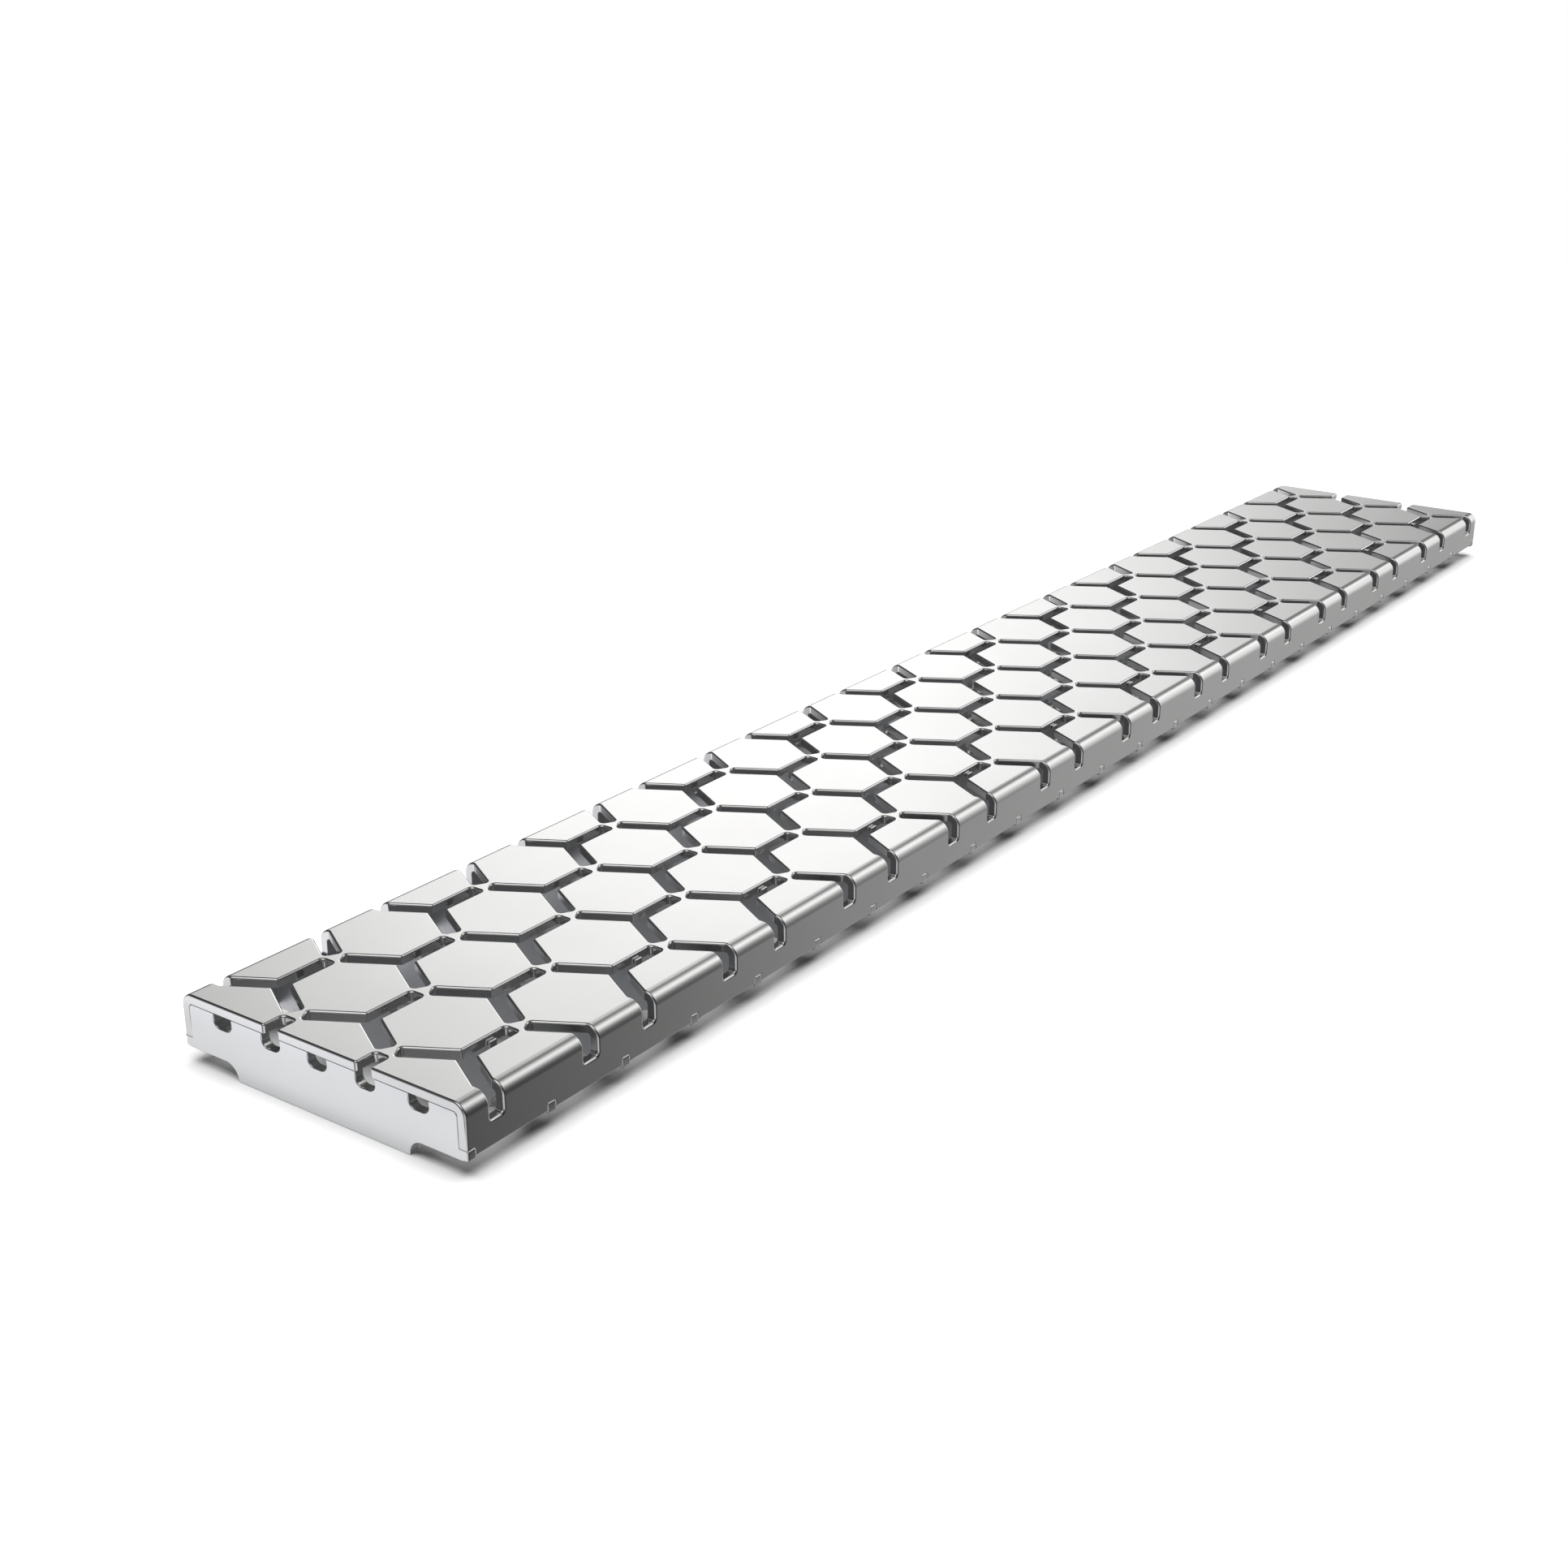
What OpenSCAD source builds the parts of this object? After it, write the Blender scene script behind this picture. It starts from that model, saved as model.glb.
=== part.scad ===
// Drain-channel grate: one folded stainless sheet with a honeycomb slot pattern,
// stood on a row of cross plates that key into notches in its skirts.
// Frame: +X along the grate, +Y to its left side, +Z up, origin under the middle.

/* [Grate] */
// Overall length
grate_length = 1000; // [996:1:1004]
// Overall width over the two skirts
grate_width = 147; // [145:1:149]
// Overall height, from the plate tongues to the walking surface
grate_height = 29.5; // [29.5:0.5:34]
// Thickness of the folded sheet
sheet_t = 4; // [3:0.5:4]
// Outside radius of the two long folds
fold_r = 5.5; // [4.5:0.5:6.5]
// Height of a skirt, from the walking surface to its free edge
skirt_h = 21.7; // [20:0.1:22]

/* [Slots] */
// Edge length of the honeycomb that the slots follow
hex_edge = 27.867; // [27.8:0.001:27.9]
// Width of a slot
slot_w = 7; // [7:0.1:8]
// Length of a slot's arm, from the slot's middle to the arm's end
slot_reach = 24.7; // [24:0.1:25.4]
// Radius of the corners at an arm's end
slot_corner_r = 1.8; // [1:0.1:2.8]
// From the near end of the grate to the middle of the first slots
first_slot = 26.5; // [26:0.1:27]
// Number of slot columns along the grate
column_count = 24; // [20:1:24]
// Depth of the slots in the skirts, below the walking surface
side_slot_h = 11.5; // [9:0.5:12]
// Radius of the corners at a skirt slot's foot
side_slot_r = 1.5; // [0.5:0.1:2.5]

/* [Cross plates] */
// Number of plates that stand across the grate, the two end plates included
plate_count = 25; // [25]
// Thickness of a plate
plate_t = 4; // [3:0.5:4]
// Width of the round-cornered notches in a plate's top edge
notch_w = 9.7; // [8.5:0.1:10]
// Depth of those notches, below the walking surface
notch_h = 9.7; // [8:0.1:11]
// Radius of the corners at a notch's foot
notch_r = 3; // [1:0.5:4]
// Distance of the inner pair of notches from the middle
inner_notch_y = 24.6; // [24:0.1:25]
// Distance of the outer pair of notches from the middle
outer_notch_y = 51; // [51:0.1:51.8]
// Height of a plate's shoulder, from the walking surface down to where it rests
shoulder_h = 22.8; // [22:0.1:22.8]
// Width of the tongue that hangs between the shoulders
tongue_w = 90; // [80:0.2:96]
// Radius in the corner between shoulder and tongue
tongue_fillet_r = 6.2; // [1:0.1:6.2]
// Radius of the tongue's lower corners
tongue_corner_r = 0.4; // [0.3:0.1:0.5]
// Height of the ears that key through the skirts
ear_h = 4.4; // [3:0.1:5]
// Clearance around an ear in its skirt notch
ear_gap = 0.2; // [0.1:0.05:0.4]
// Width of the nib that stands up into a slot beside an outer notch
nib_w = 1.2; // [0.9:0.1:1.3]
// Depth of the nib's tip below the walking surface
nib_drop = 2.2; // [1.5:0.1:3]

/* [Hidden] */
TOP = grate_height;
SHEET_UNDER = TOP - sheet_t;
SKIRT_END = TOP - skirt_h;
SHOULDER = TOP - shoulder_h;
HALF_W = grate_width / 2;
SKIRT_IN = HALF_W - sheet_t;
FLAT_EDGE = HALF_W - fold_r;
// Extra radius that keeps a plate's upper corners off the inside of the folds
CORNER_EASE = 0.5;
PLATE_CORNER_R = fold_r - sheet_t + CORNER_EASE;
ROW_PITCH = snap(hex_edge * sqrt(3));
COLUMN_PITCH = hex_edge * 1.5;
// Half a slot's width as cut by a line along X through a slanted arm
SLANT = slot_w / 2 / sin(60);
PLATE_PITCH = (grate_length - plate_t) / (plate_count - 1);
// Spare length of a cutter beyond the face that it cuts
OVER = 2;
// Length by which an outline or a cutter runs on inside what it joins
FUSE = 1;
// Step by which neighbouring cutters overlap where their faces would nearly coincide
LAP = 0.03;
ROUND = 48;

// Whole micrometres, so that faces which belong to one plane are made at one number
function snap(v) = round(v * 1000) / 1000;
// Centre of slot column i along X; columns before 0 lie past the near end
function column_x(i) = snap(first_slot - grate_length / 2 + COLUMN_PITCH * i);
// Centre of cross plate k along X, from 0 at the near end
function plate_x(k) = (plate_t - grate_length) / 2 + PLATE_PITCH * k;
function two_digits(k) = str(k < 10 ? "0" : "", k);
function plate_name(k) =
    k == 0 ? "near_end_plate" :
    k == plate_count - 1 ? "far_end_plate" : str("cross_plate_", two_digits(k));
function is_even(i) = i % 2 == 0;

module on_both_sides() {
    children();
    mirror([0, 1, 0]) children();
}

// Stands an outline drawn in (Y, Z) across the grate and gives it a length along X
module across(length) {
    rotate([90, 0, 90]) linear_extrude(length, center = true) children();
}

// Upright rectangle on the centre line, with rounded upper corners
module arch_outline(half_w, foot, top, r) {
    translate([-half_w, foot]) square([2 * half_w, top - r - foot]);
    translate([r - half_w, foot]) square([2 * (half_w - r), top - foot]);
    for (y = [r - half_w, half_w - r])
        translate([y, top - r]) circle(r, $fn = ROUND);
}

// Notch from an open upper edge, with rounded lower corners
module notch_outline(low, high, foot, top, r) {
    translate([low, foot + r]) square([high - low, top - foot - r]);
    translate([low + r, foot]) square([high - low - 2 * r, 2 * r]);
    for (u = [low + r, high - r])
        translate([u, foot + r]) circle(r, $fn = ROUND);
}

// One arm of a slot, from the slot's middle along +X
module arm_outline() {
    r = slot_corner_r;
    translate([0, -slot_w / 2]) square([slot_reach - r, slot_w]);
    translate([0, r - slot_w / 2]) square([slot_reach, slot_w - 2 * r]);
    for (v = [r - slot_w / 2, slot_w / 2 - r])
        translate([slot_reach - r, v]) circle(r, $fn = ROUND);
}

// Cuts an outline drawn in (X, Y) straight down through the walking surface
module cut_down(x, y) {
    translate([x, y, SHEET_UNDER - OVER])
        linear_extrude(sheet_t + 2 * OVER) children();
}

// Three-armed slot that lies whole in the walking surface
module y_slot(x, y) {
    cut_down(x, y) for (turn = [0, 120, 240]) rotate(turn) arm_outline();
}

// Opening in the left skirt, from low to high along X, below the fold
module skirt_slot(low, high) {
    translate([0, HALF_W + OVER, 0])
        rotate([90, 0, 0])
            linear_extrude(sheet_t + OVER + FUSE)
                notch_outline(low, high, TOP - side_slot_h, SHEET_UNDER - FUSE, side_slot_r);
}

// Three-armed slot whose outer arm turns down the left skirt, full width to the fold
module wrapped_y_slot(x) {
    fold = snap(FLAT_EDGE - ROW_PITCH);
    past = fold + fold_r + OVER;
    far = snap(SLANT - fold / sqrt(3));
    near = far - slot_w;
    kink = snap(fold - (2 * SLANT - slot_w) * sqrt(3));
    inside = [slot_w / 4 * sqrt(3) - SLANT, -slot_w / 4 * 3];
    cut_down(x, ROW_PITCH) {
        for (turn = [0, 240]) rotate(turn) arm_outline();
        polygon([inside, [SLANT, 0], [far, fold], [far, past], [near, past], [near, kink]]);
    }
    translate([x, 0, 0]) skirt_slot(near, far);
}

// Single arm that comes in from the left skirt, for the slots centred beyond the fold
module edge_arm(x) {
    middle = 1.5 * ROW_PITCH;
    fold = snap(FLAT_EDGE - middle);
    low = snap(fold / sqrt(3) - SLANT + LAP);
    high = snap(fold / sqrt(3) + SLANT - LAP);
    cut_down(x, middle) {
        intersection() {
            rotate(240) arm_outline();
            translate([-slot_reach, fold - slot_reach]) square([2 * slot_reach, slot_reach]);
        }
        translate([low, fold - LAP]) square([high - low, fold_r + OVER]);
    }
    translate([x, 0, 0]) skirt_slot(low, high);
}

// Skirt notches that a plate's ears key into, on both sides
module ear_notches(x) {
    for (y = [-HALF_W, HALF_W])
        translate([x, y, SKIRT_END])
            cube([plate_t + 2 * ear_gap, 2 * (sheet_t + FUSE), 2 * (SHOULDER + ear_h + ear_gap - SKIRT_END)],
                center = true);
}

module slots_of_column(i) {
    x = column_x(i);
    if (is_even(i)) {
        y_slot(x, 0);
        on_both_sides() wrapped_y_slot(x);
    } else on_both_sides() {
        y_slot(x, ROW_PITCH / 2);
        edge_arm(x);
    }
}

// The walking surface and both skirts, folded from one sheet
module deck_sheet() {
    color([0.80, 0.79, 0.78]) difference() {
        across(grate_length) difference() {
            arch_outline(HALF_W, SKIRT_END, TOP, fold_r);
            arch_outline(SKIRT_IN, SKIRT_END - OVER, SHEET_UNDER, fold_r - sheet_t);
        }
        for (i = [0 : column_count - 1]) slots_of_column(i);
        // The column before the first reaches in from the near end with one arm a side
        on_both_sides() cut_down(column_x(-1), ROW_PITCH / 2) arm_outline();
        for (k = [0 : plate_count - 1]) ear_notches(plate_x(k));
    }
}

module plate_outline(with_nibs) {
    difference() {
        arch_outline(SKIRT_IN, SHOULDER, SHEET_UNDER, PLATE_CORNER_R);
        for (y = [-outer_notch_y, -inner_notch_y, 0, inner_notch_y, outer_notch_y])
            notch_outline(y - notch_w / 2, y + notch_w / 2, TOP - notch_h, TOP, notch_r);
    }
    translate([-HALF_W, SHOULDER]) square([grate_width, ear_h]);
    mirror([0, 1]) arch_outline(tongue_w / 2, -SHOULDER - FUSE, 0, tongue_corner_r);
    for (side = [-1, 1])
        scale([side, 1]) {
            tongue_fillet();
            if (with_nibs) nib();
        }
}

module tongue_fillet() {
    r = tongue_fillet_r;
    difference() {
        translate([tongue_w / 2 - FUSE, SHOULDER - r]) square([r + FUSE, r + FUSE]);
        translate([tongue_w / 2 + r, SHOULDER - r]) circle(r, $fn = ROUND);
    }
}

// Stands beside the outer notch and reaches up into the slot above it
module nib() {
    translate([outer_notch_y - notch_w / 2 - nib_w, SHEET_UNDER - FUSE])
        square([nib_w, sheet_t - nib_drop + FUSE]);
}

// Every second plate stands under the arms of the outer slots and has nibs
module cross_plate(k) {
    color([0.66, 0.67, 0.68])
        translate([plate_x(k), 0, 0]) across(plate_t) plate_outline(!is_even(k));
}

module near_end_plate() {
    color([0.84, 0.85, 0.87]) translate([plate_x(0), 0, 0]) across(plate_t) plate_outline(false);
}

module far_end_plate() {
    color([0.84, 0.85, 0.87])
        translate([plate_x(plate_count - 1), 0, 0]) across(plate_t) plate_outline(false);
}

deck_sheet();
near_end_plate();
for (k = [1 : plate_count - 2])
    cross_plate(k);
far_end_plate();
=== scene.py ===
"""Looks of a stainless drain-channel grate: the folded sheet and its cross plates are rebuilt
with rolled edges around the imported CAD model, on a white floor in soft studio light."""

import math

import bpy
import numpy as np
from mathutils import Matrix, Vector
from mathutils.geometry import delaunay_2d_cdt


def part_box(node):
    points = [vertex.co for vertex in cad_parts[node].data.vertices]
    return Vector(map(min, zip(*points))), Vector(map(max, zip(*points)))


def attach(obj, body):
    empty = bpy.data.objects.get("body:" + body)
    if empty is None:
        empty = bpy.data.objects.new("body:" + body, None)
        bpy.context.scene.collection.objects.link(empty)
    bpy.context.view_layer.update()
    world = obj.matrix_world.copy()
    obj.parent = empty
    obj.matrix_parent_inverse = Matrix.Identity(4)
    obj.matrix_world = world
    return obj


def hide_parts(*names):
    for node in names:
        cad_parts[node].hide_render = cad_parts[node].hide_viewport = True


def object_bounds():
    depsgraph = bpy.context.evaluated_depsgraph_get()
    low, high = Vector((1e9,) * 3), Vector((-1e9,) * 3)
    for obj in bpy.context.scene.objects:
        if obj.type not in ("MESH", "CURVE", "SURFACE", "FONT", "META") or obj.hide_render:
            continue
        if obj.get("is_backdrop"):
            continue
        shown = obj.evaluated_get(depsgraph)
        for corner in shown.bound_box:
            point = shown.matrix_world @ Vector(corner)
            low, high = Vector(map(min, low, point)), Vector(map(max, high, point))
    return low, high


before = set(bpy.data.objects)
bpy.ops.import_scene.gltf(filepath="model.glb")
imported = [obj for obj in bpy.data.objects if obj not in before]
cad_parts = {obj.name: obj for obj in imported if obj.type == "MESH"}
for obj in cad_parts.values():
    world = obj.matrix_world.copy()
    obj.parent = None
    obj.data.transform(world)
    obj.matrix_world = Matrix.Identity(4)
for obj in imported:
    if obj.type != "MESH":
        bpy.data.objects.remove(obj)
cad_low, cad_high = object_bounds()

MM = 0.001

# Sizes in millimetres. Those of whole nodes come from the frame.
DECK_LOW, DECK_HIGH = (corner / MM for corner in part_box("deck_sheet"))
NEAR, FAR = DECK_LOW.x, DECK_HIGH.x
TOP, SKIRT_END = DECK_HIGH.z, DECK_LOW.z
HALF_W = DECK_HIGH.y
SHEET_T = 4.0
FOLD_R = 5.5
FLAT_EDGE = HALF_W - FOLD_R
FOLD_LENGTH = FOLD_R * math.pi / 2
SKIRT_IN = HALF_W - SHEET_T
SHEET_UNDER = TOP - SHEET_T
# Half the sheet's width in the flat pattern, measured along its outer face
FLAT_HALF = FLAT_EDGE + FOLD_LENGTH + TOP - FOLD_R - SKIRT_END

# Slots, on a honeycomb
HEX_EDGE = 27.867
ROW_PITCH = HEX_EDGE * math.sqrt(3)
COLUMN_PITCH = HEX_EDGE * 1.5
COLUMNS = 24
FIRST_SLOT = NEAR + 26.5
SLOT_HALF = 3.5
SLOT_REACH = 24.7
ARM_END_R = 1.8
TILE_R = 1.1
SLANT = SLOT_HALF / math.sin(math.radians(60))
SIDE_SLOT_FOOT = FLAT_EDGE + FOLD_LENGTH + 11.5 - FOLD_R
SIDE_SLOT_R = 1.5
# Corner radii where a slot's wall turns over the fold, and where a slanted wall straightens
FOLD_CORNER_R = 3.0
KINK_R = 1.5

# Cross plates
EAR_GAP = 0.06
EAR_H = 4.4
NOTCH_YS = (-51.0, -24.6, 0.0, 24.6, 51.0)
NOTCH_HALF = 4.85
NOTCH_FOOT = TOP - 9.7
NOTCH_R = 3.0
SHOULDER = TOP - 22.8
TONGUE_HALF = 45.0
TONGUE_FILLET_R = 6.2
PLATE_CORNER_R = 2.0
NIB_W = 1.2
EAR_R = 0.7
END_EAR_R = 1.0
NIB_TOP = TOP - 2.2

# Radii of the rolled edges
SLOT_RIM = 1.0
INNER_RIM = 0.32
END_RIM = 0.9
SKIRT_RIM = 0.7
EAR_RIM = 0.4
PLATE_RIM = 0.35
NOTCH_RIM = 0.45
SEAM_RIM = 0.28
HAIRLINE = 0.08
# Corners where a slot opens through an end of the sheet
MOUTH_R = 1.1
MOUTH_RIM = 0.95
# Lengths over which one rolled edge runs out into another
RIM_RUN = 1.3
EAR_RUN = 0.6
# Corner radii of the small corners, and of the skirt beside an ear
SMALL_R = 0.4
SKIRT_R = 0.8

# Fineness of the meshes
RIM_STEPS = 5
ARC_STEP = math.radians(13)
FOLD_STEPS = 10
# Spacing of the points along a fold, and the distance that they keep from a slot there
FOLD_GRID = 2.5
FOLD_CLEAR = 1.5
# Output type of Blender's triangulation that fills the first loop and leaves the others open
INSIDE_WITH_HOLES = 2
# Material slots of a plate's outer face, its edges and its inner face
OUTER, EDGE, INNER = range(3)


# ---- Outlines -----------------------------------------------------------------
# An outline is a list of corners (u, v, corner radius, rim radius) with the metal on its
# right, and becomes a closed loop of points with the arcs worked out.


def turned(corners, degrees, centre):
    """Corners turned about the origin and then moved to centre."""
    c, s = math.cos(math.radians(degrees)), math.sin(math.radians(degrees))
    return [(centre[0] + c * u - s * v, centre[1] + s * u + c * v, r, rim) for u, v, r, rim in corners]


def mirrored(corners):
    """Corners on the other side of the sheet, in the order that keeps the metal on the right."""
    return [(u, -v, r, rim) for u, v, r, rim in reversed(corners)]


def flipped(corners):
    """Corners on the other side of a plate, in the order that keeps the metal on the right."""
    return [(-u, v, r, rim) for u, v, r, rim in reversed(corners)]


def arc_points(before, corner, after, radius):
    """Points of the arc that rounds a corner between two straight edges."""
    back = (before - corner) / np.linalg.norm(before - corner)
    ahead = (after - corner) / np.linalg.norm(after - corner)
    half = math.acos(np.clip(back @ ahead, -1, 1)) / 2
    turn = math.pi - 2 * half
    if turn < 1e-3:
        return [corner]
    bisector = (back + ahead) / np.linalg.norm(back + ahead)
    centre = corner + bisector * radius / math.sin(half)
    spoke = corner + back * radius / math.tan(half) - centre
    sign = 1 if back[1] * ahead[0] - back[0] * ahead[1] > 0 else -1
    steps = max(3, math.ceil(turn / ARC_STEP))
    points = []
    for k in range(steps + 1):
        angle = sign * turn * k / steps
        c, s = math.cos(angle), math.sin(angle)
        points.append(centre + np.array((c * spoke[0] - s * spoke[1], s * spoke[0] + c * spoke[1])))
    return points


def loop_of(corners, lines=()):
    """The loop's points, their rim radii and the way into the metal. The loop gets a point more
    wherever it crosses one of the lines of v."""
    points, rims = [], []
    at = [np.array(c[:2], float) for c in corners]
    for i, (_, _, radius, rim) in enumerate(corners):
        rounded = [at[i]]
        if radius:
            rounded = arc_points(at[i - 1], at[i], at[(i + 1) % len(at)], radius)
        points += rounded
        rims += [rim] * len(rounded)
    cut_points, cut_rims = [], []
    for i, point in enumerate(points):
        after, rim_after = points[(i + 1) % len(points)], rims[(i + 1) % len(points)]
        cut_points.append(point)
        cut_rims.append(rims[i])
        rise = after[1] - point[1]
        shares = [(v - point[1]) / rise for v in lines] if abs(rise) > 1e-9 else []
        for share in sorted(s for s in shares if 1e-3 < s < 1 - 1e-3):
            cut_points.append(point + (after - point) * share)
            cut_rims.append(rims[i] + (rim_after - rims[i]) * share)
    points = np.array(cut_points)
    edges = np.roll(points, -1, axis=0) - points
    edges /= np.linalg.norm(edges, axis=1)[:, None]
    right = np.stack([edges[:, 1], -edges[:, 0]], axis=1)
    right_before = np.roll(right, 1, axis=0)
    into = (right + right_before) / (1 + (right * right_before).sum(axis=1))[:, None]
    return points, np.array(cut_rims), into


def arm_corners():
    """The two corners at the end of a slot's arm along +u."""
    return [(SLOT_REACH, -SLOT_HALF, ARM_END_R, SLOT_RIM), (SLOT_REACH, SLOT_HALF, ARM_END_R, SLOT_RIM)]


def tile_corner(degrees, centre):
    """The corner of a tile that points at a slot's middle."""
    return turned([(SLANT, 0, TILE_R, SLOT_RIM)], degrees, centre)


def y_slot(u, v):
    """Three-armed slot."""
    corners = []
    for turn in (0, 120, 240):
        corners += turned(arm_corners(), turn, (u, v)) + tile_corner(turn + 60, (u, v))
    return corners


def wrapped_y_slot(u):
    """Three-armed slot whose outer arm turns down the left skirt, full width to the fold."""
    centre = (u, ROW_PITCH)
    far = u + SLANT - (FLAT_EDGE - ROW_PITCH) / math.sqrt(3)
    near = far - 2 * SLOT_HALF
    kink = FLAT_EDGE - (2 * SLANT - 2 * SLOT_HALF) * math.sqrt(3)
    return (
        turned(arm_corners(), 0, centre)
        + tile_corner(60, centre)
        + [(far, FLAT_EDGE, FOLD_CORNER_R, SLOT_RIM)]
        + [(far, SIDE_SLOT_FOOT, SIDE_SLOT_R, SLOT_RIM), (near, SIDE_SLOT_FOOT, SIDE_SLOT_R, SLOT_RIM)]
        + [(near, kink, KINK_R, SLOT_RIM)]
        + tile_corner(180, centre)
        + turned(arm_corners(), 240, centre)
        + tile_corner(300, centre)
    )


def edge_arm(u):
    """Single arm that comes in from the left skirt, for the slots centred beyond the fold."""
    middle = 1.5 * ROW_PITCH
    at_fold = u - (middle - FLAT_EDGE) / math.sqrt(3)
    low, high = at_fold - SLANT, at_fold + SLANT
    return turned(arm_corners(), 240, (u, middle)) + [
        (high, FLAT_EDGE, FOLD_CORNER_R, SLOT_RIM),
        (high, SIDE_SLOT_FOOT, SIDE_SLOT_R, SLOT_RIM),
        (low, SIDE_SLOT_FOOT, SIDE_SLOT_R, SLOT_RIM),
        (low, FLAT_EDGE, FOLD_CORNER_R, SLOT_RIM),
    ]


def column_u(i):
    """Middle of slot column i; column -1 lies past the near end."""
    return FIRST_SLOT + COLUMN_PITCH * i


def slot_outlines():
    """Every slot that lies whole within the sheet; the last odd column opens through the far end."""
    outlines = []
    for i in range(COLUMNS):
        u = column_u(i)
        if i % 2 == 0:
            outlines += [y_slot(u, 0), wrapped_y_slot(u), mirrored(wrapped_y_slot(u))]
        else:
            outlines += [edge_arm(u), mirrored(edge_arm(u))]
            if i < COLUMNS - 1:
                outlines += [y_slot(u, ROW_PITCH / 2), y_slot(u, -ROW_PITCH / 2)]
    return outlines


def near_mouth(v):
    """Slot arm that opens through the near end, on the way up that end."""
    tip = column_u(-1) + SLOT_REACH
    return [
        (NEAR, v - SLOT_HALF - RIM_RUN, 0, END_RIM),
        (NEAR, v - SLOT_HALF, MOUTH_R, MOUTH_RIM),
        (tip, v - SLOT_HALF, ARM_END_R, SLOT_RIM),
        (tip, v + SLOT_HALF, ARM_END_R, SLOT_RIM),
        (NEAR, v + SLOT_HALF, MOUTH_R, MOUTH_RIM),
        (NEAR, v + SLOT_HALF + RIM_RUN, 0, END_RIM),
    ]


def far_mouth(v):
    """Three-armed slot that opens through the far end, on the way down that end."""
    centre = (column_u(COLUMNS - 1), v)
    return (
        [(FAR, v + SLOT_HALF + RIM_RUN, 0, END_RIM), (FAR, v + SLOT_HALF, MOUTH_R, MOUTH_RIM)]
        + tile_corner(60, centre)
        + turned(arm_corners(), 120, centre)
        + tile_corner(180, centre)
        + turned(arm_corners(), 240, centre)
        + tile_corner(300, centre)
        + [(FAR, v - SLOT_HALF, MOUTH_R, MOUTH_RIM), (FAR, v - SLOT_HALF - RIM_RUN, 0, END_RIM)]
    )


def plate_names():
    """The cross plates in order from the near end."""
    names = [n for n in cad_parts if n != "deck_sheet"]
    return sorted(names, key=lambda n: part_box(n)[0].x)


def left_skirt_edge():
    """Free edge of the left skirt from the near end to the far end, with the notches for the ears."""
    foot = FLAT_HALF - (SHOULDER + EAR_H + EAR_GAP - SKIRT_END)
    corners = []
    for name in plate_names():
        low, high = (corner.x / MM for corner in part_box(name))
        before, after = low - EAR_GAP, high + EAR_GAP
        if before > NEAR:
            corners += [(before, FLAT_HALF, SKIRT_R, SKIRT_RIM), (before, foot, SMALL_R, EAR_RIM)]
        else:
            corners += [(NEAR, foot - EAR_RUN, 0, END_RIM), (NEAR, foot, 0, HAIRLINE)]
        if after < FAR:
            corners += [(after, foot, SMALL_R, EAR_RIM), (after, FLAT_HALF, SKIRT_R, SKIRT_RIM)]
        else:
            corners += [(FAR, foot, 0, HAIRLINE), (FAR, foot - EAR_RUN, 0, END_RIM)]
    return corners


def sheet_outline():
    """The sheet's outer edge in the flat pattern, clockwise from the near end's middle."""
    left = left_skirt_edge()
    half = ROW_PITCH / 2
    return (
        near_mouth(-half)
        + near_mouth(half)
        + left
        + far_mouth(half)
        + far_mouth(-half)
        + mirrored(left)
    )


def right_ear(at_end):
    """The right ear from the skirt's inside round to the shoulder; at an end its outer edge goes on
    with the rolled end of the sheet above it."""
    ear_top = SHOULDER + EAR_H
    if not at_end:
        return [
            (SKIRT_IN, ear_top, SMALL_R, PLATE_RIM),
            (HALF_W, ear_top, EAR_R, EAR_RIM),
            (HALF_W, SHOULDER, EAR_R, EAR_RIM),
        ]
    return [
        (SKIRT_IN, ear_top, 0, HAIRLINE),
        (HALF_W, ear_top, 0, HAIRLINE),
        (HALF_W, ear_top - EAR_RUN, 0, END_RIM),
        (HALF_W, SHOULDER, END_EAR_R, END_RIM),
        (HALF_W - 2 * RIM_RUN, SHOULDER, 0, PLATE_RIM),
    ]


def plate_outline(with_nibs, at_end):
    """A cross plate seen from its outer side, with u to the right and v up."""
    nib_in = NOTCH_YS[-1] - NOTCH_HALF - NIB_W
    nib_out = nib_in + NIB_W
    upper_rim = SEAM_RIM if at_end else PLATE_RIM
    ear = right_ear(at_end)
    corners = flipped(ear)
    corners.append((-SKIRT_IN, SHEET_UNDER, PLATE_CORNER_R, upper_rim))
    for y in NOTCH_YS:
        left, right = y - NOTCH_HALF, y + NOTCH_HALF
        mouth_left = [(left, SHEET_UNDER, SMALL_R, upper_rim)]
        mouth_right = [(right, SHEET_UNDER, SMALL_R, upper_rim)]
        nib = [
            (nib_in, SHEET_UNDER, SMALL_R, PLATE_RIM),
            (nib_in, NIB_TOP, SMALL_R, PLATE_RIM),
            (nib_out, NIB_TOP, SMALL_R, PLATE_RIM),
        ]
        if with_nibs and y == NOTCH_YS[-1]:
            mouth_left = nib
        if with_nibs and y == NOTCH_YS[0]:
            mouth_right = flipped(nib)
        floor = [(left, NOTCH_FOOT, NOTCH_R, NOTCH_RIM), (right, NOTCH_FOOT, NOTCH_R, NOTCH_RIM)]
        corners += mouth_left + floor + mouth_right
    corners.append((SKIRT_IN, SHEET_UNDER, PLATE_CORNER_R, upper_rim))
    return corners + ear + [
        (TONGUE_HALF, SHOULDER, TONGUE_FILLET_R, PLATE_RIM),
        (TONGUE_HALF, 0, SMALL_R, PLATE_RIM),
        (-TONGUE_HALF, 0, SMALL_R, PLATE_RIM),
        (-TONGUE_HALF, SHOULDER, TONGUE_FILLET_R, PLATE_RIM),
    ]


# ---- Sheet metal from outlines ----------------------------------------------------


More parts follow.
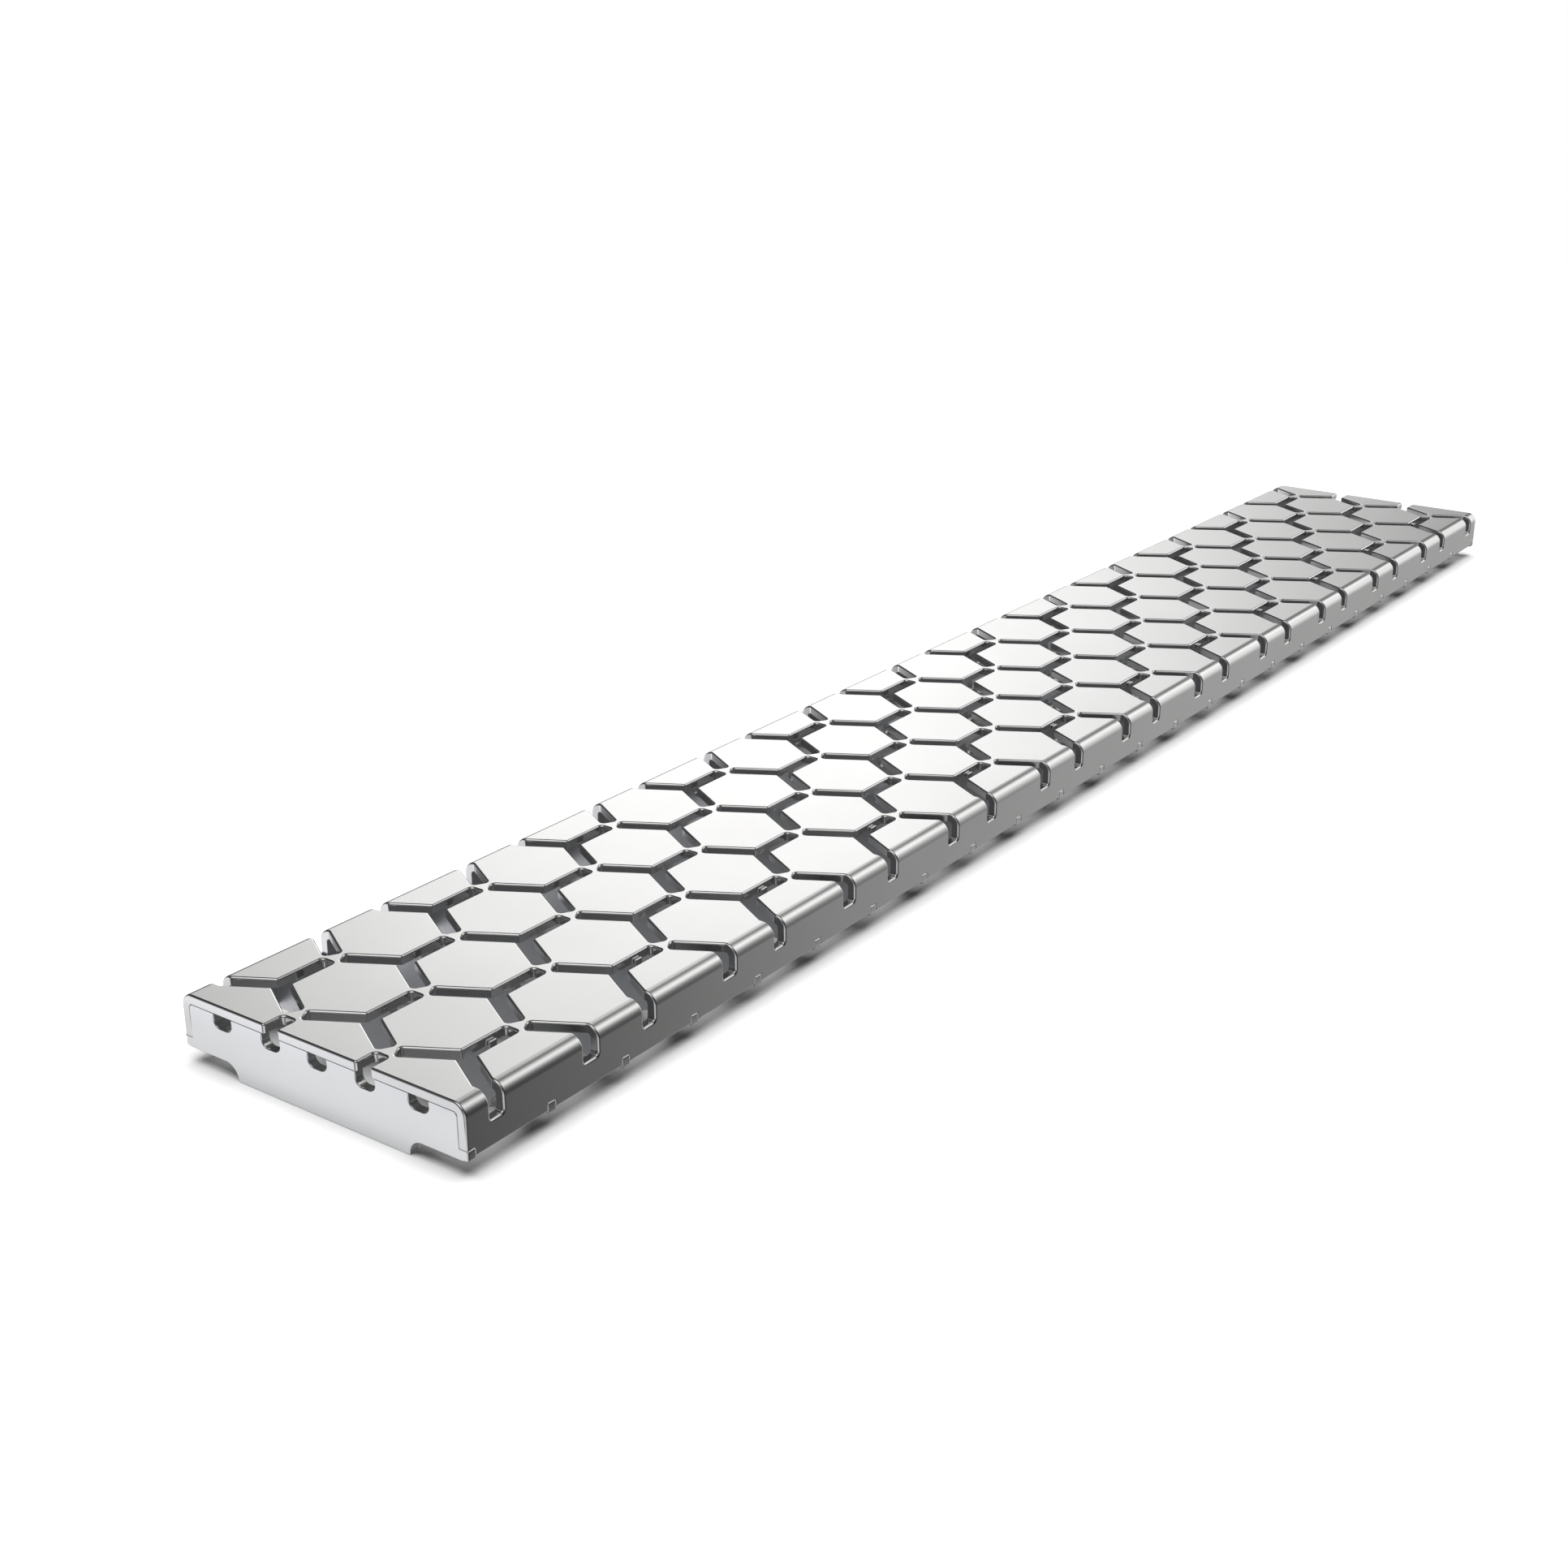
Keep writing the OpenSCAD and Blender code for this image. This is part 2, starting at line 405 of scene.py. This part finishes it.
def metal_triangles(points, loops):
    """Triangles, as indices into points, that fill the first loop outside the others."""
    coords = [Vector(point) for point in points]
    faces = [loop.tolist() for loop in loops]
    edges = [pair for face in faces for pair in zip(face, face[1:] + face[:1])]
    found = delaunay_2d_cdt(coords, edges, faces, INSIDE_WITH_HOLES, 1e-5)
    _, _, triangles, origins, _, _ = found
    return np.array([[origins[i][0] for i in triangle] for triangle in triangles])


def rim_profile(rim_out, rim_in, thickness):
    """Steps round a sheet's cut edge from its outer to its inner face, each as (inset, depth,
    outward weight, upward weight), for rim radii given per point."""
    steps = []
    for k in range(RIM_STEPS + 1):
        angle = math.pi / 2 * k / RIM_STEPS
        s, c = math.sin(angle), math.cos(angle)
        steps.append((rim_out * (1 - s), rim_out * (1 - c), s, c))
    for k in range(RIM_STEPS + 1):
        angle = math.pi / 2 * k / RIM_STEPS
        s, c = math.sin(angle), math.cos(angle)
        steps.append((rim_in * (1 - c), thickness - rim_in * (1 - s), c, -s))
    return steps


def sheet_piece(name, outlines, thickness, place, materials, inner_rim, extra=(), lines=()):
    """A plate of metal with rolled edges, in materials for its outer face, edges and inner face.
    place(u, v, w) gives points at depth w below the outer face and the directions of u, v and
    the outer normal there. The faces also get the extra points, and follow the lines of v."""
    loops = [loop_of(corners, lines) for corners in outlines]
    starts = np.cumsum([0] + [len(points) for points, _, _ in loops])
    rows = [np.arange(a, b) for a, b in zip(starts[:-1], starts[1:])]
    points = np.concatenate([p for p, _, _ in loops])
    rims = np.concatenate([r for _, r, _ in loops])
    into = np.concatenate([m for _, _, m in loops])
    outward = -into / np.linalg.norm(into, axis=1)[:, None]
    extra = np.array(extra, float).reshape(-1, 2)
    ring_n = len(points)

    places, normals = [], []
    profile = rim_profile(rims, np.full(ring_n, inner_rim), thickness)
    for inset, depth, out_weight, up_weight in profile:
        ring = points + into * inset[:, None]
        at, along_u, along_v, up = place(ring[:, 0], ring[:, 1], depth)
        sideways = along_u * outward[:, :1] + along_v * outward[:, 1:]
        places.append(at)
        normals.append(sideways * out_weight + up * up_weight)
    for depth, sign in ((0.0, 1), (thickness, -1)):
        at, _, _, up = place(extra[:, 0], extra[:, 1], np.full(len(extra), depth))
        places.append(at)
        normals.append(up * sign)

    faces, slots = [], []
    for j in range(len(profile) - 1):
        for row in rows:
            after = np.roll(row, -1)
            quad = np.stack([row, after, after + ring_n, row + ring_n], axis=1) + j * ring_n
            faces += quad.tolist()
            slots += [EDGE] * len(quad)
    last = (len(profile) - 1) * ring_n
    extra_at = len(profile) * ring_n
    for ring_at, extra_from, reverse in ((0, extra_at, False), (last, extra_at + len(extra), True)):
        inset = profile[-1 if reverse else 0][0]
        flat = np.concatenate([points + into * inset[:, None], extra])
        triangles = metal_triangles(flat, rows)
        triangles = np.where(triangles < ring_n, triangles + ring_at, triangles - ring_n + extra_from)
        faces += (triangles[:, ::-1] if reverse else triangles).tolist()
        slots += [INNER if reverse else OUTER] * len(triangles)

    places = np.concatenate(places) * MM
    normals = np.concatenate(normals)
    mesh = bpy.data.meshes.new(name)
    mesh.from_pydata(places.tolist(), [], faces)
    mesh.polygons.foreach_set("material_index", slots)
    mesh.polygons.foreach_set("use_smooth", [True] * len(faces))
    for material in materials:
        mesh.materials.append(material)
    mesh.update()
    mesh.normals_split_custom_set_from_vertices(normals.tolist())
    piece = bpy.data.objects.new(name, mesh)
    bpy.context.scene.collection.objects.link(piece)
    return piece


def place_on_fold(u, v, w):
    """Where the folded sheet's flat pattern lies, with its directions."""
    side = np.sign(v)
    past = np.abs(v) - FLAT_EDGE
    angle = np.clip(past / FOLD_R, 0, math.pi / 2)
    down = np.maximum(past - FOLD_LENGTH, 0)
    radius = FOLD_R - w
    s, c, none = np.sin(angle), np.cos(angle), np.zeros_like(v)
    y = side * (np.minimum(np.abs(v), FLAT_EDGE) + radius * s)
    z = TOP - FOLD_R + radius * c - down
    along_u = np.stack([none + 1, none, none], axis=1)
    along_v = np.stack([none, c, -side * s], axis=1)
    up = np.stack([none, side * s, c], axis=1)
    return np.stack([u, y, z], axis=1), along_u, along_v, up


def upright_at(x, ahead):
    """Places a plate outline across the grate with its outer face at x; the plate goes on from
    there along +X if ahead is 1, and along -X if it is -1."""

    def place(u, v, w):
        none = np.zeros_like(u)
        along_u = np.stack([none, none - ahead, none], axis=1)
        along_v = np.stack([none, none, none + 1], axis=1)
        up = np.stack([none - ahead, none, none], axis=1)
        return np.stack([x + ahead * w, -ahead * u, v], axis=1), along_u, along_v, up

    return place


def fold_lines():
    """Lines of v at which the sheet bends a little further."""
    steps = [FLAT_EDGE + FOLD_LENGTH * k / FOLD_STEPS for k in range(FOLD_STEPS + 1)]
    return steps + [-v for v in steps]


def fold_points():
    """Points between the side slots that let the face follow the fold."""
    blocked = []
    for i in range(COLUMNS):
        corners = wrapped_y_slot(column_u(i)) if i % 2 == 0 else edge_arm(column_u(i))
        at_foot = [u for u, v, _, _ in corners if v >= FLAT_EDGE]
        blocked.append((min(at_foot) - FOLD_CLEAR, max(at_foot) + FOLD_CLEAR))
    count = int((FAR - NEAR) / FOLD_GRID)
    us = NEAR + (np.arange(2, count - 1) + 0.5) * FOLD_GRID
    us = [u for u in us if not any(low < u < high for low, high in blocked)]
    return [(u, v) for v in fold_lines() for u in us]


# ---- Materials ------------------------------------------------------------------

# Where a noise's useful range starts and ends
NOISE_LOW, NOISE_HIGH = 0.3, 0.7
# Patches of tone per metre
CLOUD_SCALE = 18.0
FLOOR_CLOUD_SCALE = 3.0


def principled(name, metallic=1.0):
    material = bpy.data.materials.new(name)
    material.use_nodes = True
    shader = material.node_tree.nodes["Principled BSDF"]
    shader.inputs["Metallic"].default_value = metallic
    return material, material.node_tree, shader


def noise(tree, scale, detail=2.0):
    """Noise in object coordinates, scale in features per metre."""
    coordinates = tree.nodes.new("ShaderNodeTexCoord")
    texture = tree.nodes.new("ShaderNodeTexNoise")
    texture.inputs["Scale"].default_value = scale
    texture.inputs["Detail"].default_value = detail
    tree.links.new(coordinates.outputs["Object"], texture.inputs["Vector"])
    return texture.outputs["Fac"]


def ramp(tree, factor, low, high):
    """Colour that runs from low to high over the middle of the noise's range."""
    node = tree.nodes.new("ShaderNodeValToRGB")
    node.color_ramp.elements[0].position = NOISE_LOW
    node.color_ramp.elements[1].position = NOISE_HIGH
    node.color_ramp.elements[0].color = (*low, 1)
    node.color_ramp.elements[1].color = (*high, 1)
    tree.links.new(factor, node.inputs["Fac"])
    return node.outputs["Color"]


def steel(name, dark, light, rough, grain, grain_depth):
    """Stainless steel with a cloudy tone, uneven roughness and a fine grain."""
    material, tree, shader = principled(name)
    cloud = noise(tree, CLOUD_SCALE, 3.0)
    tree.links.new(ramp(tree, cloud, dark, light), shader.inputs["Base Color"])
    fine = noise(tree, grain, 2.0)
    low, high = rough
    uneven = ramp(tree, fine, (low,) * 3, (high,) * 3)
    tree.links.new(uneven, shader.inputs["Roughness"])
    bump = tree.nodes.new("ShaderNodeBump")
    bump.inputs["Strength"].default_value = 1.0
    bump.inputs["Distance"].default_value = grain_depth
    tree.links.new(fine, bump.inputs["Height"])
    tree.links.new(bump.outputs["Normal"], shader.inputs["Normal"])
    return material


# ---- Camera, light and floor ------------------------------------------------------


# The camera's place in metres, the directions to its right and ahead of it, and its lens
CAMERA_AT = (-0.9578, -0.5403, 0.3995)
CAMERA_RIGHT = (0.58665, -0.80984, -0.00164)
CAMERA_FORWARD = (0.75373, 0.54674, -0.36464)
SENSOR_MM = 36.0
LENS_MM = 49.555
FLOOR_SIZE = 4.0
# Depth of the glowing cards below the floor, which paint the floor's light and the grate's shadow into the
# metal's reflections
PAINTED_CARD_DEPTH = 0.5 * MM
# Slightly cool tint of their painted light
PAINTED_CARD_TINT = (0.97, 0.985, 1.0)


def add_camera():
    data = bpy.data.cameras.new("camera")
    camera = bpy.data.objects.new("camera", data)
    bpy.context.scene.collection.objects.link(camera)
    data.sensor_width = SENSOR_MM
    data.lens = LENS_MM
    right = Vector(CAMERA_RIGHT)
    forward = Vector(CAMERA_FORWARD).normalized()
    right = (right - forward * right.dot(forward)).normalized()
    up = right.cross(forward)
    turn = Matrix((right, up, -forward)).transposed()
    camera.matrix_world = Matrix.Translation(CAMERA_AT) @ turn.to_4x4()
    bpy.context.scene.camera = camera


def add_floor():
    bpy.ops.mesh.primitive_plane_add(size=FLOOR_SIZE)
    floor = bpy.context.object
    floor.name = "floor"
    material, tree, shader = principled("floor_white", metallic=0.0)
    shader.inputs["Roughness"].default_value = 0.9
    shader.inputs["Specular IOR Level"].default_value = 0.0
    pale = ramp(tree, noise(tree, FLOOR_CLOUD_SCALE), (0.9, 0.9, 0.9), (0.92, 0.92, 0.92))
    tree.links.new(pale, shader.inputs["Base Color"])
    floor.data.materials.append(material)
    floor.visible_glossy = False
    floor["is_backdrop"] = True


def add_painted_reflection_card(name, low, high, stops, clearness=0.0):
    """Glowing card just under the floor, seen only in the metal, with corners low and high; it paints a
    reflection of the lit floor or of the grate's shadow there.
    Its painted light changes along X, from high towards low, through stops of (share of the way,
    strength). A share of the light from below, clearness, comes through it."""
    middle = (low[1] + high[1]) / 2
    bpy.ops.mesh.primitive_plane_add(size=1, location=(high[0], middle, -PAINTED_CARD_DEPTH))
    card = bpy.context.object
    card.name = name
    card.data.transform(Matrix.Translation((-0.5, 0, 0)))
    card.scale = (high[0] - low[0], high[1] - low[1], 1)
    material = bpy.data.materials.new(name)
    material.use_nodes = True
    tree = material.node_tree
    tree.nodes.clear()
    coordinates = tree.nodes.new("ShaderNodeTexCoord")
    split = tree.nodes.new("ShaderNodeSeparateXYZ")
    away = tree.nodes.new("ShaderNodeMath")
    away.operation = "MULTIPLY"
    away.inputs[1].default_value = -1.0
    shades = tree.nodes.new("ShaderNodeValToRGB")
    for k, (share, strength) in enumerate(stops):
        stop = shades.color_ramp.elements[k] if k < 2 else shades.color_ramp.elements.new(share)
        stop.position = share
        stop.color = (*(strength * tint for tint in PAINTED_CARD_TINT), 1)
    glow = tree.nodes.new("ShaderNodeEmission")
    output = tree.nodes.new("ShaderNodeOutputMaterial")
    tree.links.new(coordinates.outputs["Object"], split.inputs["Vector"])
    tree.links.new(split.outputs["X"], away.inputs[0])
    tree.links.new(away.outputs[0], shades.inputs["Fac"])
    tree.links.new(shades.outputs["Color"], glow.inputs["Color"])
    through = tree.nodes.new("ShaderNodeBsdfTransparent")
    through.inputs["Color"].default_value = (clearness, clearness, clearness, 1)
    both = tree.nodes.new("ShaderNodeAddShader")
    tree.links.new(glow.outputs["Emission"], both.inputs[0])
    tree.links.new(through.outputs["BSDF"], both.inputs[1])
    tree.links.new(both.outputs["Shader"], output.inputs["Surface"])
    card.data.materials.append(material)
    card.visible_camera = False
    card.visible_diffuse = False
    card.visible_shadow = False
    card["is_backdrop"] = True


def towards(azimuth, elevation):
    """Direction as a vector, from degrees round from +X and degrees above the floor."""
    a, e = math.radians(azimuth), math.radians(elevation)
    return Vector((math.cos(e) * math.cos(a), math.cos(e) * math.sin(a), math.sin(e)))


# Studio lights as (azimuth, elevation, softness in degrees, strength, colour)
WHITE = (1.0, 1.0, 1.0)
COOL = (0.95, 0.96, 1.0)
LIGHTS = (
    # Ahead, mirrored in the walking surface: its near half, then its middle and far half
    (45, 20, 10, 1.1, WHITE),
    (30, 15, 9, 0.95, WHITE),
    # On the right, mirrored down the right fold and in its skirt
    (25, 40, 8, 0.8, WHITE),
    (-30, 35, 13, 1.2, WHITE),
    (-10, 25, 5, 0.85, WHITE),
    (-20, 5, 12, 1.0, WHITE),
    (-25, -25, 10, 0.35, WHITE),
    # Light off the floor, mirrored in the near end's face and in the lower rims
    (120, -20, 18, 1.25, COOL),
    (-140, -25, 22, 0.7, COOL),
    (0, -50, 14, 0.45, WHITE),
    # Overhead, on the camera's side, mirrored in the rims of the slots
    (190, 60, 18, 1.25, WHITE),
)
AMBIENT = 0.01
# The overhead soft box's width as seen from the floor, in degrees, and its strength
TOP_LIGHT_WIDTH = 66
TOP_LIGHT_STRENGTH = 4.4


def add_world():
    """Studio surroundings as soft round lights on a dim ground; the camera sees plain white."""
    world = bpy.data.worlds.new("studio")
    bpy.context.scene.world = world
    world.use_nodes = True
    tree = world.node_tree
    tree.nodes.clear()
    output = tree.nodes.new("ShaderNodeOutputWorld")
    direction = tree.nodes.new("ShaderNodeTexCoord").outputs["Generated"]

    def linked(kind, operation, *values):
        """Node whose inputs are set to, or linked from, the values."""
        node = tree.nodes.new(kind)
        node.operation = operation
        for socket, value in zip(node.inputs, values):
            if isinstance(value, bpy.types.NodeSocket):
                tree.links.new(value, socket)
            else:
                socket.default_value = value
        return node

    def vector_node(operation, *values):
        return linked("ShaderNodeVectorMath", operation, *values)

    def number(operation, *values):
        return linked("ShaderNodeMath", operation, *values).outputs[0]

    total = None
    for azimuth, elevation, softness, strength, colour in LIGHTS:
        facing = vector_node("DOT_PRODUCT", direction, towards(azimuth, elevation)).outputs["Value"]
        sharpness = 1 / math.radians(softness) ** 2
        power = number("MULTIPLY_ADD", facing, sharpness, -sharpness)
        glow = number("MULTIPLY", number("EXPONENT", power), strength)
        tinted = vector_node("SCALE", colour)
        tree.links.new(glow, tinted.inputs["Scale"])
        ground = (AMBIENT,) * 3 if total is None else total
        total = vector_node("ADD", tinted.outputs["Vector"], ground).outputs["Vector"]

    surround = tree.nodes.new("ShaderNodeBackground")
    tree.links.new(total, surround.inputs["Color"])
    white = tree.nodes.new("ShaderNodeBackground")
    white.inputs["Color"].default_value = (1, 1, 1, 1)
    path = tree.nodes.new("ShaderNodeLightPath")
    mix = tree.nodes.new("ShaderNodeMixShader")
    tree.links.new(path.outputs["Is Camera Ray"], mix.inputs["Fac"])
    tree.links.new(surround.outputs["Background"], mix.inputs[1])
    tree.links.new(white.outputs["Background"], mix.inputs[2])
    tree.links.new(mix.outputs["Shader"], output.inputs["Surface"])
    world.cycles_visibility.diffuse = False


def add_top_light():
    """Overhead soft box, wide enough to blur the shadows, that shows on the floor and not in the metal."""
    data = bpy.data.lights.new("top_light", "SUN")
    data.angle = math.radians(TOP_LIGHT_WIDTH)
    data.energy = TOP_LIGHT_STRENGTH
    light = bpy.data.objects.new("top_light", data)
    bpy.context.scene.collection.objects.link(light)
    light.visible_glossy = False


# ---- Scene ------------------------------------------------------------------------

add_camera()
add_world()
add_floor()
# The near card paints the bright floor in front of the end face into its reflection, darker towards the
# grate as a painted contact shadow.
# The under card is a dark sheet that paints the grate's own shadow into the metal, which keeps the walls of
# the slots dark.
add_painted_reflection_card("near_painted_floor_reflection", (-0.532, -0.08), (cad_low.x, 0.12), ((0.0, 0.55), (1.0, 0.9), (0.3, 0.8)))
# Dark glowing sheet under the grate: a painted shadow of the grate, seen only in the reflections of the
# slot walls and plates
painted_shadow_edge = 0.07
add_painted_reflection_card(
    "under_painted_shadow",
    (cad_low.x, -painted_shadow_edge),
    (cad_high.x, painted_shadow_edge),
    ((0.0, 0.08), (1.0, 0.08)),
    clearness=0.25,
)
add_top_light()

# Darkest and lightest tone, roughness, grains per metre and depth of the grain
satin = steel("satin_steel", (0.79, 0.785, 0.778), (0.83, 0.825, 0.82), (0.2, 0.26), 2600, 0.004 * MM)
polished = steel("polished_edge", (0.78, 0.775, 0.77), (0.82, 0.815, 0.81), (0.12, 0.18), 1800, 0.002 * MM)
underside = steel("mill_underside", (0.62, 0.62, 0.62), (0.7, 0.7, 0.7), (0.35, 0.45), 1500, 0.01 * MM)
plate = steel("plate_steel", (0.66, 0.67, 0.68), (0.72, 0.73, 0.74), (0.35, 0.45), 1800, 0.008 * MM)
end_steel = steel("end_plate_steel", (0.86, 0.865, 0.87), (0.9, 0.905, 0.91), (0.2, 0.26), 2000, 0.003 * MM)

deck = sheet_piece(
    "folded_deck",
    [sheet_outline()] + slot_outlines(),
    SHEET_T,
    place_on_fold,
    (satin, polished, underside),
    INNER_RIM,
    extra=fold_points(),
    lines=fold_lines(),
)
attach(deck, "root")
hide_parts("deck_sheet")

for name in plate_names():
    low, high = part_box(name)
    is_end = name.endswith("end_plate")
    face = end_steel if is_end else plate
    at_far_end = is_end and high.x > 0
    # Only the plates with nibs reach up past the sheet's underside
    has_nibs = high.z / MM > SHEET_UNDER + 1
    place = upright_at(high.x / MM, -1) if at_far_end else upright_at(low.x / MM, 1)
    piece = sheet_piece(
        name + "_rolled",
        [plate_outline(has_nibs, is_end)],
        (high.x - low.x) / MM,
        place,
        (face, polished, face),
        PLATE_RIM,
    )
    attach(piece, "root")
    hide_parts(name)

bpy.context.scene.view_settings.view_transform = "Standard"

low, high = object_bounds()
